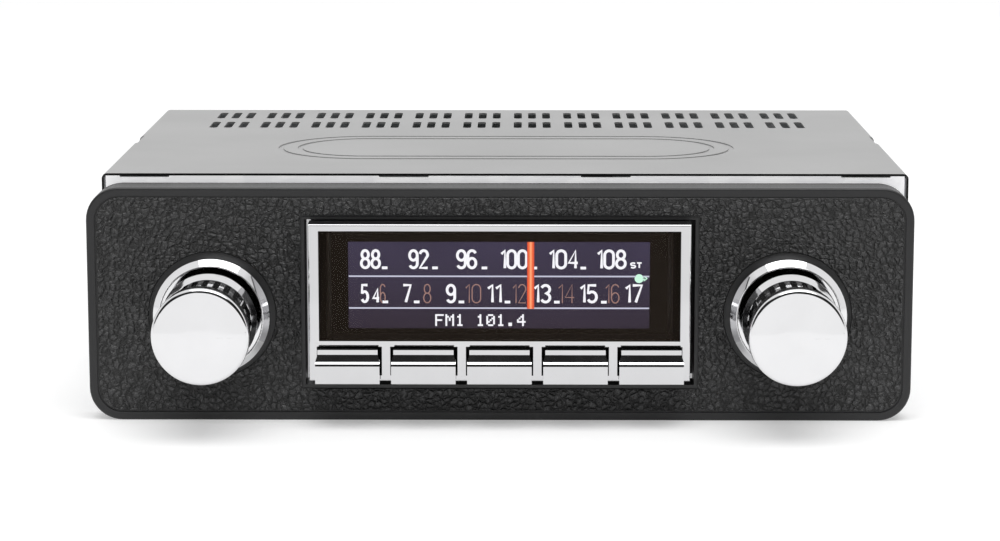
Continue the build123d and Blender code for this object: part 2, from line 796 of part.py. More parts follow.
def make_knob(x):
    """Fluted barrel with a conical rear flange, hollow from behind, with a hub on ribs."""
    with BuildPart() as knob:
        rod(x, control_z, knob_flange_radius, ahead_pair((knob_flange[0], knob_flange_shoulder)))
        with Locations(Location((x, ahead(knob_flange_shoulder), control_z), (90, 0, 0))):
            Cone(
                knob_flange_radius,
                knob_flange_front_radius,
                knob_flange[1] - knob_flange_shoulder,
                align=(Align.CENTER, Align.CENTER, Align.MIN),
            )
        rod(x, control_z, knob_sleeve_radius, ahead_pair(knob_sleeve))
        with BuildSketch(facing(ahead(knob_flange[1]))):
            with Locations((x, control_z)):
                Circle(knob_body_radius)
                with PolarLocations(knob_body_radius, flute_count):
                    Rectangle(2 * flute_depth, flute_width, mode=Mode.SUBTRACT)
        extrude(amount=knob_front - knob_flange[1])
        rod(x, control_z, knob_hollow_radius, ahead_pair((knob_sleeve[0], knob_hollow_front)),
            mode=Mode.SUBTRACT)
        rod(x, control_z, knob_hub_radius, ahead_pair((knob_hub_back, knob_hollow_front)))
        for reach in ((knob_hollow_radius + 0.2, 0.6), (0.6, knob_hollow_radius + 0.2)):
            block((x - reach[0], x + reach[0]), ahead_pair((knob_hub_back + 1.0, knob_hollow_front)),
                  (control_z - reach[1], control_z + reach[1]))
        bore_y = ahead_pair((knob_hub_back, knob_bore_front))
        rod(x, control_z, knob_bore, bore_y, mode=Mode.SUBTRACT)
        block((x - clip_half_width - 0.05, x + clip_half_width + 0.05), bore_y,
              (control_z + flat_height, control_z + flat_height + clip_height + 0.05), mode=Mode.SUBTRACT)
        rod(x, control_z, spigot_radius + 0.05, ahead_pair((knob_front - spigot_length, knob_front)),
            mode=Mode.SUBTRACT)
    return knob


def make_knob_cap(x):
    """Polished cap with a rounded rim and a slightly domed front."""
    rim = cap_front - cap_sag
    with BuildPart() as cap:
        with BuildSketch(radial_plane(x, control_z)):
            with BuildLine():
                Polyline(
                    (cap_flat_radius, cap_front),
                    (0, cap_front),
                    (0, knob_front - spigot_length),
                    (spigot_radius, knob_front - spigot_length),
                    (spigot_radius, knob_front),
                    (cap_radius, knob_front),
                    (cap_radius, rim - cap_round),
                )
                rim_arc = ThreePointArc(
                    (cap_radius, rim - cap_round),
                    (cap_radius - 0.3 * cap_round, rim - 0.3 * cap_round),
                    (cap_radius - cap_round, rim),
                )
                TangentArc((cap_flat_radius, cap_front), rim_arc @ 1, tangent=(1, 0))
            make_face()
        revolve(axis=Axis((x, 0, control_z), (0, 1, 0)))
    return cap


def make_knob_clip(x):
    """Folded leaf spring between the shaft's flat and the knob's keyway."""
    bottom = control_z + flat_height
    clip_y = (inner_shaft_y[0] + 0.5, inner_shaft_y[0] + flat_length - 0.5)
    with BuildPart() as clip:
        block((x - clip_half_width, x + clip_half_width), clip_y, (bottom, bottom + clip_height))
        block((x - clip_half_width, x + clip_half_width), (clip_y[0] + clip_leaf, clip_y[1]),
              (bottom + clip_leaf, bottom + clip_height - clip_leaf), mode=Mode.SUBTRACT)
    return clip


def make_push_plunger(x):
    """Disc that the shaft's end presses back against the push switch."""
    with BuildPart() as plunger:
        rod(x, control_z, plunger_radius, plunger_y)
    return plunger


for name, x in control_places:
    save(make_outer_shaft(x), f"{name}_outer_shaft")
    save(make_rear_ring(x), f"{name}_rear_ring")
    save(make_inner_shaft(x), f"{name}_inner_shaft")
    save(make_knob(x), f"{name}_knob")
    save(make_knob_cap(x), f"{name}_knob_cap")
    save(make_knob_clip(x), f"{name}_knob_clip")
    save(make_push_plunger(x), f"{name}_push_plunger")
    spring_y = (plunger_y[1] + spring_slack, spring_seat - spring_slack)
    spring = coil_spring(x, control_z, spring_y, push_spring_radius, push_spring_wire, turns=3)
    save(spring, f"{name}_push_spring")

with BuildPart() as panel_nuts:
    for name, x in control_places:
        hex_nut(x, case_front - panel_nut_thickness, panel_nut_thickness)
save(panel_nuts, "panel_nuts")

with BuildPart() as shaft_washers:
    for name, x in control_places:
        washer_y = (ahead(pocket_floor) - washer_thickness, ahead(pocket_floor))
        rod(x, control_z, washer_radius, washer_y)
        rod(x, control_z, nut_bore, washer_y, mode=Mode.SUBTRACT)
save(shaft_washers, "shaft_washers")

with BuildPart() as plate_nuts:
    for name, x in control_places:
        hex_nut(x, ahead(pocket_floor) - washer_thickness - plate_nut_thickness, plate_nut_thickness)
save(plate_nuts, "plate_nuts")


# ---- Circuit board and what stands on it ----

board_screw_places = [
    (case_x + side * board_screw_spread_x / 2, y) for side in (-1, 1) for y in board_screw_y
]

with BuildPart() as main_board:
    block(board_x, board_y, board_z)
    for x, y in board_screw_places:
        post(x, y, board_hole_radius, board_z, mode=Mode.SUBTRACT)
save(main_board, "main_board")

with BuildPart() as board_screws:
    for x, y in board_screw_places:
        post(x, y, board_screw_head[0], (board_z[1], board_z[1] + board_screw_head[1]))
        post(x, y, screw_radius, (floor_top + 0.5, board_z[1]))
save(board_screws, "board_screws")

with BuildPart() as amplifier_chip:
    block(amplifier_x, (amplifier_front, rear_panel_front), amplifier_z)
    for i in range(amplifier_pins):
        pin_x = sum(amplifier_x) / 2 + amplifier_pin_pitch * (i - (amplifier_pins - 1) / 2)
        block((pin_x - amplifier_pin_half, pin_x + amplifier_pin_half), amplifier_pin_y,
              (board_z[1], amplifier_z[0]))
save(amplifier_chip, "amplifier_chip")

with BuildPart() as tuner_can:
    block(tuner_x, tuner_y, (board_z[1], tuner_top))
    fillet(tuner_can.edges().filter_by(Axis.Z), tuner_corner)
    for x in tuner_hole_places:
        post(x, sum(tuner_y) / 2, tuner_hole_radius, (tuner_top - tuner_hole_depth, tuner_top),
             mode=Mode.SUBTRACT)
save(tuner_can, "tuner_can")

with BuildPart() as capacitors:
    for x, y, radius, height in capacitor_places:
        post(x, y, radius, (board_z[1], board_z[1] + height))
save(capacitors, "capacitors")

with BuildPart() as board_chips:
    for x, y, width, depth in chip_places:
        block((x - width / 2, x + width / 2), (y - depth / 2, y + depth / 2),
              (board_z[1], board_z[1] + chip_height))
save(board_chips, "board_chips")

with BuildPart() as ribbon_cable:
    with BuildSketch(Plane.YZ.offset(-ribbon_half)):
        with BuildLine() as route:
            FilletPolyline(
                (board_back, ribbon_top),
                (ribbon_bend_y, ribbon_top),
                (ribbon_bend_y, board_z[1]),
                radius=ribbon_bend_radius,
            )
        trace(route.line, line_width=ribbon_thickness)
    extrude(amount=2 * ribbon_half)
save(ribbon_cable, "ribbon_cable")


# ---- Fittings on the back ----

with BuildPart() as heat_sink:
    base_y = (rear_panel_back, rear_panel_back + heat_sink_base)
    block(heat_sink_x, base_y, heat_sink_z)
    fin_pitch = (heat_sink_x[1] - heat_sink_x[0] - heat_sink_fin) / (heat_sink_fins - 1)
    for i in range(heat_sink_fins):
        fin_left = heat_sink_x[0] + fin_pitch * i
        block((fin_left, fin_left + heat_sink_fin), (base_y[1], heat_sink_back), heat_sink_z)
save(heat_sink, "heat_sink")

with BuildPart() as harness_socket:
    block(harness_x, harness_y, harness_z)
    block((harness_x[1], fuse_bay_right), (harness_y[0], fuse_bay_back), harness_z)
    cavity_x = (harness_x[0] + harness_wall, harness_x[1] - harness_wall)
    cavity_z = (harness_z[0] + harness_wall, harness_z[1] - harness_wall)
    block(cavity_x, (harness_floor, harness_y[1]), cavity_z, mode=Mode.SUBTRACT)
    fuse_pocket_x = (harness_x[1] + fuse_bay_wall, fuse_bay_right - fuse_bay_wall)
    block(fuse_pocket_x, (fuse_bay_floor, fuse_bay_back), cavity_z, mode=Mode.SUBTRACT)
save(harness_socket, "harness_socket")

with BuildPart() as harness_pins:
    half_width, half_height = harness_pin_half
    for row_z in harness_pin_rows:
        for i in range(harness_pins_per_row):
            pin_x = sum(harness_x) / 2 + harness_pin_pitch * (i - (harness_pins_per_row - 1) / 2)
            block((pin_x - half_width, pin_x + half_width), (harness_floor, harness_pin_end),
                  (row_z - half_height, row_z + half_height))
save(harness_pins, "harness_pins")

with BuildPart() as blade_fuse:
    fuse_x = (fuse_pocket_x[0] + fuse_side_gap, fuse_pocket_x[1] - fuse_side_gap)
    head_front = fuse_bay_back + 0.5
    block(fuse_x, (fuse_bay_floor, head_front),
          (cavity_z[0] + fuse_blade_inset, cavity_z[1] - fuse_blade_inset))
    block(fuse_x, (head_front, head_front + fuse_head_height),
          (cavity_z[0] + fuse_head_inset, cavity_z[1] - fuse_head_inset))
save(blade_fuse, "blade_fuse")

with BuildPart() as rca_block:
    core_end = rca_end - rca_core_recess
    block(rca_block_x, (rca_block_front, rear_panel_front), (board_z[1], rca_block_top))
    for x in rca_places_x:
        for z in rca_places_z:
            rod(x, z, rca_core_radius, (rear_panel_front, core_end))
            rod(x, z, rca_pin_radius, (rca_end - rca_pin_depth, core_end), mode=Mode.SUBTRACT)
save(rca_block, "rca_block")

with BuildPart() as rca_barrels:
    for x in rca_places_x:
        for z in rca_places_z:
            rod(x, z, rca_radius, (rear_panel_front, rca_end))
            rod(x, z, rca_collar[0], (rear_panel_back, rear_panel_back + rca_collar[1]))
            rod(x, z, rca_core_radius, (rear_panel_front, rca_end), mode=Mode.SUBTRACT)
save(rca_barrels, "rca_barrels")

with BuildPart() as antenna_socket:
    rod(antenna_x, antenna_z, antenna_radius, antenna_y)
    bore_floor = antenna_y[1] - antenna_bore_depth
    rod(antenna_x, antenna_z, antenna_collar[0], (rear_panel_back, rear_panel_back + antenna_collar[1]))
    rod(antenna_x, antenna_z, antenna_bore, (bore_floor, antenna_y[1]), mode=Mode.SUBTRACT)
    rod(antenna_x, antenna_z, antenna_core_radius, (antenna_y[0] + antenna_core_wall, bore_floor),
        mode=Mode.SUBTRACT)
save(antenna_socket, "antenna_socket")

with BuildPart() as support_stud:
    rod(stud_x, stud_z, stud_radius, stud_y)
    with BuildSketch(facing(rear_panel_back + stud_nut_thickness)):
        with Locations((stud_x, stud_z)):
            RegularPolygon(stud_nut_half, 6, major_radius=False)
    extrude(amount=stud_nut_thickness)
save(support_stud, "support_stud")
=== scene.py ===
import json
import math

import bmesh
import bpy
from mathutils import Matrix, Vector

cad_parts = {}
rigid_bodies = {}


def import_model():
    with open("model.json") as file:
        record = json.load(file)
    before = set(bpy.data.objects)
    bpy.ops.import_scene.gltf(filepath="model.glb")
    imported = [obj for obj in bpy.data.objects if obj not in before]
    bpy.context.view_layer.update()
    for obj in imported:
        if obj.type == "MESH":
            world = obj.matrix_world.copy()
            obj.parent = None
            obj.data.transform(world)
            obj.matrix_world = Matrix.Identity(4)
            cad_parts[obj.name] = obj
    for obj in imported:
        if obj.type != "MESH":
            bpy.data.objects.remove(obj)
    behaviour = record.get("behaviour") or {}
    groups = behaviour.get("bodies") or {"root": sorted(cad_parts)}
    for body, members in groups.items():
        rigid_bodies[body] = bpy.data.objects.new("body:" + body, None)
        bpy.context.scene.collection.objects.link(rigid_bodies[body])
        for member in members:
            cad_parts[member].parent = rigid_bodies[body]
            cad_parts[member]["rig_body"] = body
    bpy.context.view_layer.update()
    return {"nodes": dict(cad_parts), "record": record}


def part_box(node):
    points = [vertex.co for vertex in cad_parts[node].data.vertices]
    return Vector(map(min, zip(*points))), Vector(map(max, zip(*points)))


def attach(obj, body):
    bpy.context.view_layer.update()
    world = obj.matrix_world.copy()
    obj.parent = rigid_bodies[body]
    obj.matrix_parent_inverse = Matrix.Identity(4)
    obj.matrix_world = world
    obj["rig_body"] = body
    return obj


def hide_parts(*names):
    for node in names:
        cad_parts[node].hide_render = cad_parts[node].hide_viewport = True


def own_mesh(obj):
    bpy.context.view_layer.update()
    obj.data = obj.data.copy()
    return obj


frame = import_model()

MM = 0.001
NODES = frame["nodes"]
PLATE_LOW, PLATE_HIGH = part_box("face_plate")
LCD_LOW, LCD_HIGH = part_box("lcd_panel")
BEZEL_LOW, BEZEL_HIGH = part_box("chrome_bezel")
COVER_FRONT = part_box("top_cover")[0].y
SIDES = ("volume", "tuning")
PRESETS = range(1, 6)

# ---- Layout of the display's picture ----
LCD_X = (LCD_LOW.x + LCD_HIGH.x) / 2
LCD_FRONT = LCD_LOW.y
ACTIVE_LEFT, ACTIVE_RIGHT = LCD_X - 32.8 * MM, LCD_X + 32.5 * MM
ACTIVE_BOTTOM, ACTIVE_TOP = 21.2 * MM, 40.2 * MM
PIXEL = 0.36 * MM
POINTER_LEFT, POINTER_RIGHT = LCD_X + 5.94 * MM, LCD_X + 7.49 * MM

# ---- Face plate: where its leather grain stops ----
PLATE_BORDER = 2.2 * MM
PLATE_CORNER = 5.0 * MM
NOSE_LIP_SIDE = 1.95 * MM
NOSE_LIP_TOP = 1.05 * MM
NOSE_LIP_BOTTOM = 2.95 * MM
RING_LAND = 1.25 * MM
LEATHER_RELIEF = 0.75 * MM


# ---- Node helpers ----

def srgb(red, green, blue):
    """A screen colour, 0 to 255, as the linear colour that a shader takes."""
    values = (channel / 255 for channel in (red, green, blue))
    return tuple(v / 12.92 if v <= 0.04045 else ((v + 0.055) / 1.055) ** 2.4 for v in values)


def grey(value):
    """A neutral linear colour."""
    return (value, value, value)


def scaled(colour, factor):
    """A colour made darker or lighter, and no brighter than white."""
    return tuple(min(1.0, channel * factor) for channel in colour)


def fill(node, inputs):
    """Fills a node's inputs with numbers or with other sockets."""
    for key, value in inputs.items():
        if isinstance(value, bpy.types.NodeSocket):
            node.id_data.links.new(value, node.inputs[key])
        else:
            node.inputs[key].default_value = value


def put(tree, kind, inputs=None, **settings):
    """Adds a node, sets its properties and fills its inputs."""
    node = tree.nodes.new(kind)
    for key, value in settings.items():
        setattr(node, key, value)
    fill(node, inputs or {})
    return node


def calc(tree, operation, *values):
    """The result of a Math node."""
    return put(tree, "ShaderNodeMath", dict(enumerate(values)), operation=operation).outputs[0]


def weighted(tree, *terms):
    """The sum of the terms, each a value times its weight."""
    total = None
    for value, weight in terms:
        product = calc(tree, "MULTIPLY", value, weight)
        total = product if total is None else calc(tree, "ADD", total, product)
    return total


def remap(tree, value, low, high, to_low=0.0, to_high=1.0):
    """Maps low..high to to_low..to_high, and stays inside."""
    inputs = {0: value, 1: low, 2: high, 3: to_low, 4: to_high}
    return put(tree, "ShaderNodeMapRange", inputs).outputs[0]


def blend_colour(tree, factor, first, second):
    """Mixes two colours or colour sockets."""
    node = put(tree, "ShaderNodeMix", {0: factor}, data_type="RGBA")
    for index, colour in ((6, first), (7, second)):
        fill(node, {index: colour if isinstance(colour, bpy.types.NodeSocket) else (*colour, 1.0)})
    return node.outputs[2]


def place(tree):
    """The point in the row frame, in metres."""
    return put(tree, "ShaderNodeTexCoord").outputs["Object"]


def parts_of(tree, vector):
    """The X, Y and Z of a point or direction."""
    return put(tree, "ShaderNodeSeparateXYZ", {0: vector}).outputs


def stretched(tree, point, scale):
    """The point scaled by a different amount along each axis."""
    return put(tree, "ShaderNodeMapping", {"Vector": point, "Scale": scale}).outputs[0]


def noise(tree, point, scale, detail=3.0, roughness=0.5):
    """Noise between about 0.3 and 0.7, with scale in features per metre."""
    inputs = {"Vector": point, "Scale": scale, "Detail": detail, "Roughness": roughness}
    return put(tree, "ShaderNodeTexNoise", inputs).outputs[0]


def bump(tree, height, depth):
    """A bump normal whose full height is depth metres."""
    return put(tree, "ShaderNodeBump", {"Height": height, "Distance": depth}).outputs[0]


def inside_rectangle(tree, x, z, middle, half, corner, softness):
    """1 inside a rounded rectangle in X and Z, 0 outside."""
    across = calc(tree, "ABSOLUTE", calc(tree, "SUBTRACT", x, middle[0]))
    up = calc(tree, "ABSOLUTE", calc(tree, "SUBTRACT", z, middle[1]))
    side_x = calc(tree, "SUBTRACT", across, half[0] - corner)
    side_z = calc(tree, "SUBTRACT", up, half[1] - corner)
    out_x = calc(tree, "MAXIMUM", side_x, 0.0)
    out_z = calc(tree, "MAXIMUM", side_z, 0.0)
    out = calc(tree, "SQRT", weighted(tree, (out_x, out_x), (out_z, out_z)))
    within = calc(tree, "MINIMUM", calc(tree, "MAXIMUM", side_x, side_z), 0.0)
    distance = calc(tree, "SUBTRACT", calc(tree, "ADD", out, within), corner)
    return remap(tree, distance, -softness, softness, 1.0, 0.0)


def outside_circle(tree, x, z, middle, radius, softness):
    """1 outside a circle in X and Z, 0 inside."""
    across = calc(tree, "SUBTRACT", x, middle[0])
    up = calc(tree, "SUBTRACT", z, middle[1])
    distance = calc(tree, "SQRT", weighted(tree, (across, across), (up, up)))
    return remap(tree, distance, radius - softness, radius + softness)


def new_material(name):
    """An empty material with its tree and its Principled shader."""
    material = bpy.data.materials.new(name)
    material.use_nodes = True
    tree = material.node_tree
    return material, tree, tree.nodes["Principled BSDF"]


# ---- Materials ----

def metal(name, colour, roughness):
    """Metal with a fine grain, cloudy tone and uneven gloss."""
    material, tree, shader = new_material(name)
    point = place(tree)
    clouds = noise(tree, point, 45.0, detail=4.0)
    grain = noise(tree, stretched(tree, point, (900, 900, 900)), 1.0, detail=2.0)
    tone = remap(tree, weighted(tree, (clouds, 0.5), (grain, 0.5)), 0.35, 0.65)
    fill(shader, {
        "Metallic": 1.0,
        "Base Color": blend_colour(tree, tone, scaled(colour, 0.94), scaled(colour, 1.06)),
        "Roughness": remap(tree, grain, 0.3, 0.7, roughness - 0.06, roughness + 0.06),
        "Normal": bump(tree, grain, 0.002 * MM),
    })
    return material


def chrome(name, roughness=0.04, colour=(0.73, 0.73, 0.74)):
    """Polished plating with a faint moulded ripple and light handling haze."""
    material, tree, shader = new_material(name)
    point = place(tree)
    haze = noise(tree, point, 160.0, detail=5.0)
    ripple = noise(tree, point, 220.0, detail=1.0)
    fill(shader, {
        "Metallic": 1.0,
        "Base Color": blend_colour(tree, haze, scaled(colour, 0.96), scaled(colour, 1.04)),
        "Roughness": remap(tree, haze, 0.35, 0.7, roughness * 0.7, roughness * 1.6),
        "Normal": bump(tree, ripple, 0.003 * MM),
    })
    return material


def plastic(name, colour, roughness=0.45):
    """Moulded plastic with a fine spark-eroded texture."""
    material, tree, shader = new_material(name)
    point = place(tree)
    speckle = noise(tree, point, 2500.0)
    clouds = noise(tree, point, 60.0)
    fill(shader, {
        "Base Color": blend_colour(tree, clouds, scaled(colour, 0.85), scaled(colour, 1.15)),
        "Roughness": remap(tree, speckle, 0.3, 0.7, roughness - 0.06, roughness + 0.08),
        "Normal": bump(tree, speckle, 0.006 * MM),
    })
    return material


def leather_grain(tree, point):
    """Height of pressed leather: warped, uneven pebbles with deep creases between them, and fine pores."""
    warp = put(tree, "ShaderNodeTexNoise", {"Vector": point, "Scale": 500.0, "Detail": 3.0}).outputs[1]
    shift = put(tree, "ShaderNodeVectorMath", {0: warp, 1: grey(0.5)}, operation="SUBTRACT").outputs[0]
    shift = put(tree, "ShaderNodeVectorMath", {0: shift, 3: 2.0 * MM}, operation="SCALE").outputs[0]
    bent = put(tree, "ShaderNodeVectorMath", {0: point, 1: shift}, operation="ADD").outputs[0]
    cells = put(tree, "ShaderNodeTexVoronoi", {"Vector": bent, "Scale": 760.0}, feature="DISTANCE_TO_EDGE")
    pebble = remap(tree, cells.outputs[0], 0.0, 0.25)
    folds = remap(tree, noise(tree, bent, 620.0, detail=4.0, roughness=0.65), 0.35, 0.65)
    pores = noise(tree, point, 3600.0, detail=2.0)
    return weighted(tree, (pebble, 0.50), (folds, 0.45), (pores, 0.10))


def grained_area(tree, point):
    """1 on the grained front of the face plate, 0 on its border, its lips and its sides."""
    x, y, z = parts_of(tree, point)
    plate_middle = (0.0, (PLATE_LOW.z + PLATE_HIGH.z) / 2)
    plate_half = (
        (PLATE_HIGH.x - PLATE_LOW.x) / 2 - PLATE_BORDER,
        (PLATE_HIGH.z - PLATE_LOW.z) / 2 - PLATE_BORDER,
    )
    face = inside_rectangle(tree, x, z, plate_middle, plate_half, PLATE_CORNER, 0.1 * MM)
    nose_low = (BEZEL_LOW.x - NOSE_LIP_SIDE, BEZEL_LOW.z - NOSE_LIP_BOTTOM)
    nose_high = (BEZEL_HIGH.x + NOSE_LIP_SIDE, BEZEL_HIGH.z + NOSE_LIP_TOP)
    nose_middle = tuple((low + high) / 2 for low, high in zip(nose_low, nose_high))
    nose_half = tuple((high - low) / 2 for low, high in zip(nose_low, nose_high))
    nose = inside_rectangle(tree, x, z, nose_middle, nose_half, 0.3 * MM, 0.08 * MM)
    mask = calc(tree, "MULTIPLY", face, calc(tree, "SUBTRACT", 1.0, nose))
    for side in SIDES:
        low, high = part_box(side + "_rear_ring")
        centre = ((low.x + high.x) / 2, (low.z + high.z) / 2)
        land = (high.x - low.x) / 2 + RING_LAND
        mask = calc(tree, "MULTIPLY", mask, outside_circle(tree, x, z, centre, land, 0.12 * MM))
    front = remap(tree, y, PLATE_LOW.y + 0.02 * MM, PLATE_LOW.y + 0.12 * MM, 1.0, 0.0)
    return calc(tree, "MULTIPLY", mask, front)


def plate_plastic():
    """Black moulded plastic: smooth border and lips, with a leather grain over the rest of the front."""
    material, tree, shader = new_material("plate_leather_grain")
    point = place(tree)
    mask = grained_area(tree, point)
    height = leather_grain(tree, point)
    level = remap(tree, height, 0.35, 0.85)
    fine = noise(tree, point, 2600.0, detail=2.0)
    smooth_colour = blend_colour(tree, noise(tree, point, 70.0), (0.013, 0.013, 0.014), (0.019, 0.019, 0.020))
    # Painted shade and highlight: the grain is coloured darker down in its creases and lighter on its pebble
    # tops.
    shaded_grain_colour = blend_colour(tree, level, (0.010, 0.010, 0.010), (0.055, 0.055, 0.056))
    grain_gloss = remap(tree, level, 0.0, 1.0, 0.44, 0.24)
    smooth_gloss = remap(tree, fine, 0.3, 0.7, 0.36, 0.46)
    relief = put(tree, "ShaderNodeBump", {
        "Height": fine,
        "Distance": 0.004 * MM,
        "Normal": bump(tree, calc(tree, "MULTIPLY", mask, height), LEATHER_RELIEF),
    }).outputs[0]
    fill(shader, {
        "Base Color": blend_colour(tree, mask, smooth_colour, shaded_grain_colour),
        "Roughness": weighted(tree, (mask, grain_gloss), (calc(tree, "SUBTRACT", 1.0, mask), smooth_gloss)),
        "Normal": relief,
    })
    return material


def cover_steel():
    """Satin grey coated steel, evenly mottled, with painted shade along its front edge."""
    material, tree, shader = new_material("satin_cover_steel")
    point = place(tree)
    mottle = noise(tree, point, 1400.0)
    clouds = noise(tree, point, 25.0)
    tone = remap(tree, weighted(tree, (mottle, 0.6), (clouds, 0.4)), 0.35, 0.65)
    coat = blend_colour(tree, tone, grey(0.32), grey(0.40))
    y = parts_of(tree, point)[1]
    # Painted shade: the cover's front edge is coloured near black, standing in for the shaded gap in front of
    # it.
    front_edge_shade = remap(tree, y, COVER_FRONT + 0.02 * MM, COVER_FRONT + 0.06 * MM, 1.0, 0.0)
    fill(shader, {
        "Metallic": 0.55,
        "Base Color": blend_colour(tree, front_edge_shade, coat, grey(0.006)),
        "Roughness": remap(tree, mottle, 0.3, 0.7, 0.40, 0.52),
        "Normal": bump(tree, mottle, 0.008 * MM),
    })
    return material


def circuit_board():
    """Green solder mask with a grid of copper tracks showing under it."""
    material, tree, shader = new_material("circuit_board")
    point = place(tree)
    tracks = put(tree, "ShaderNodeTexBrick", {
        "Vector": point,
        "Scale": 55.0,
        "Mortar Size": 0.03,
        "Mortar Smooth": 0.1,
        "Color1": (0.010, 0.085, 0.035, 1.0),
        "Color2": (0.013, 0.105, 0.042, 1.0),
        "Mortar": (0.05, 0.22, 0.08, 1.0),
    }).outputs[0]
    fill(shader, {
        "Base Color": tracks,
        "Roughness": 0.28,
        "Normal": bump(tree, noise(tree, point, 900.0), 0.01 * MM),
    })
    return material


def zinc_sheet(name, dark, light, metallic, glow=0.0):
    """Passivated zinc with faint rolling lines and spangle; glow is painted light, an emission in the zinc's own
    colour that lifts a shaded recess.
    """
    material, tree, shader = new_material(name)
    point = place(tree)
    cells = put(tree, "ShaderNodeTexVoronoi", {"Vector": point, "Scale": 240.0}).outputs[1]
    spangle = parts_of(tree, cells)[0]
    lines = noise(tree, stretched(tree, point, (220, 2400, 2400)), 1.0, detail=2.0)
    tone = remap(tree, weighted(tree, (spangle, 0.3), (lines, 0.6)), 0.25, 0.75)
    colour = blend_colour(tree, tone, dark, light)
    fill(shader, {
        "Metallic": metallic,
        "Base Color": colour,
        "Emission Color": colour,
        "Emission Strength": glow,
        "Roughness": remap(tree, lines, 0.3, 0.7, 0.34, 0.48),
        "Normal": bump(tree, lines, 0.002 * MM),
    })
    return material


def lens_acrylic():
    """Polished acrylic with a faint smoked tint, and a faint brown glow painted on it in place of its reflection
    of the pale floor.
    """
    material, tree, shader = new_material("lens_acrylic")
    marks = noise(tree, stretched(tree, place(tree), (30, 30, 90)), 1.0, detail=4.0)
    fill(shader, {
        "Base Color": blend_colour(tree, marks, (0.90, 0.88, 0.87), (0.94, 0.92, 0.91)),
        "Roughness": 0.0,
        "Transmission Weight": 1.0,
        "IOR": 1.1,
        "Specular Tint": (1.0, 0.86, 0.72, 1.0),
        # Painted reflection: a faint brown glow standing in for the lens's reflection of the pale floor.
        "Emission Color": (0.0055, 0.0041, 0.0031, 1.0),
        "Emission Strength": 1.0,
    })
    return material


def light_source(shader, colour, strength, base):
    """Makes a shader glow with a colour socket, over a dark base that mirrors nothing."""
    fill(shader, {
        "Emission Color": colour,
        "Emission Strength": strength,
        "Base Color": (*base, 1.0),
        "Specular IOR Level": 0.0,
    })


def glowing(name, colour, strength=1.0):
    """Something lit on the display, a little uneven."""
    material, tree, shader = new_material(name)
    patches = noise(tree, place(tree), 130.0)
    light_source(shader, blend_colour(tree, patches, scaled(colour, 0.92), colour), strength, grey(0.01))
    return material


def lcd_glass():
    """Black glass with a dim indigo active area, brighter at the top, and a fine pixel grid."""
    material, tree, shader = new_material("lcd_glass")
    point = place(tree)
    x, y, z = parts_of(tree, point)
    middle = ((ACTIVE_LEFT + ACTIVE_RIGHT) / 2, (ACTIVE_BOTTOM + ACTIVE_TOP) / 2)
    half = ((ACTIVE_RIGHT - ACTIVE_LEFT) / 2, (ACTIVE_TOP - ACTIVE_BOTTOM) / 2)
    area = inside_rectangle(tree, x, z, middle, half, 0.1 * MM, 0.03 * MM)
    front = remap(tree, y, LCD_FRONT + 0.02 * MM, LCD_FRONT + 0.10 * MM, 1.0, 0.0)
    lit = calc(tree, "MULTIPLY", area, front)
    indigo = blend_colour(tree, remap(tree, z, ACTIVE_BOTTOM, ACTIVE_TOP), srgb(51, 45, 61), srgb(63, 59, 84))
    columns = calc(tree, "SINE", calc(tree, "MULTIPLY", x, 2 * math.pi / PIXEL))
    rows = calc(tree, "SINE", calc(tree, "MULTIPLY", z, 2 * math.pi / PIXEL))
    grid = remap(tree, calc(tree, "MAXIMUM", columns, rows), 0.6, 1.0, 1.0, 0.82)
    clouds = remap(tree, noise(tree, point, 55.0), 0.3, 0.7, 0.88, 1.08)
    level = calc(tree, "MULTIPLY", lit, calc(tree, "MULTIPLY", grid, clouds))
    light_source(shader, blend_colour(tree, level, (0.0008, 0.0007, 0.0006), indigo), 1.0, grey(0.0))
    return material


def pointer_glow():
    """Orange bar of light with a pale core, turning red towards its edges."""
    material, tree, shader = new_material("pointer_glow")
    x = parts_of(tree, place(tree))[0]
    width = POINTER_RIGHT - POINTER_LEFT
    across = calc(tree, "ABSOLUTE", calc(tree, "SUBTRACT", x, (POINTER_LEFT + POINTER_RIGHT) / 2))
    core = remap(tree, across, 0.06 * width, 0.2 * width)
    edge = remap(tree, across, 0.3 * width, 0.5 * width)
    body = blend_colour(tree, core, srgb(255, 170, 120), srgb(238, 104, 64))
    light_source(shader, blend_colour(tree, edge, body, srgb(196, 62, 42)), 1.1, (0.02, 0.01, 0.01))
    return material


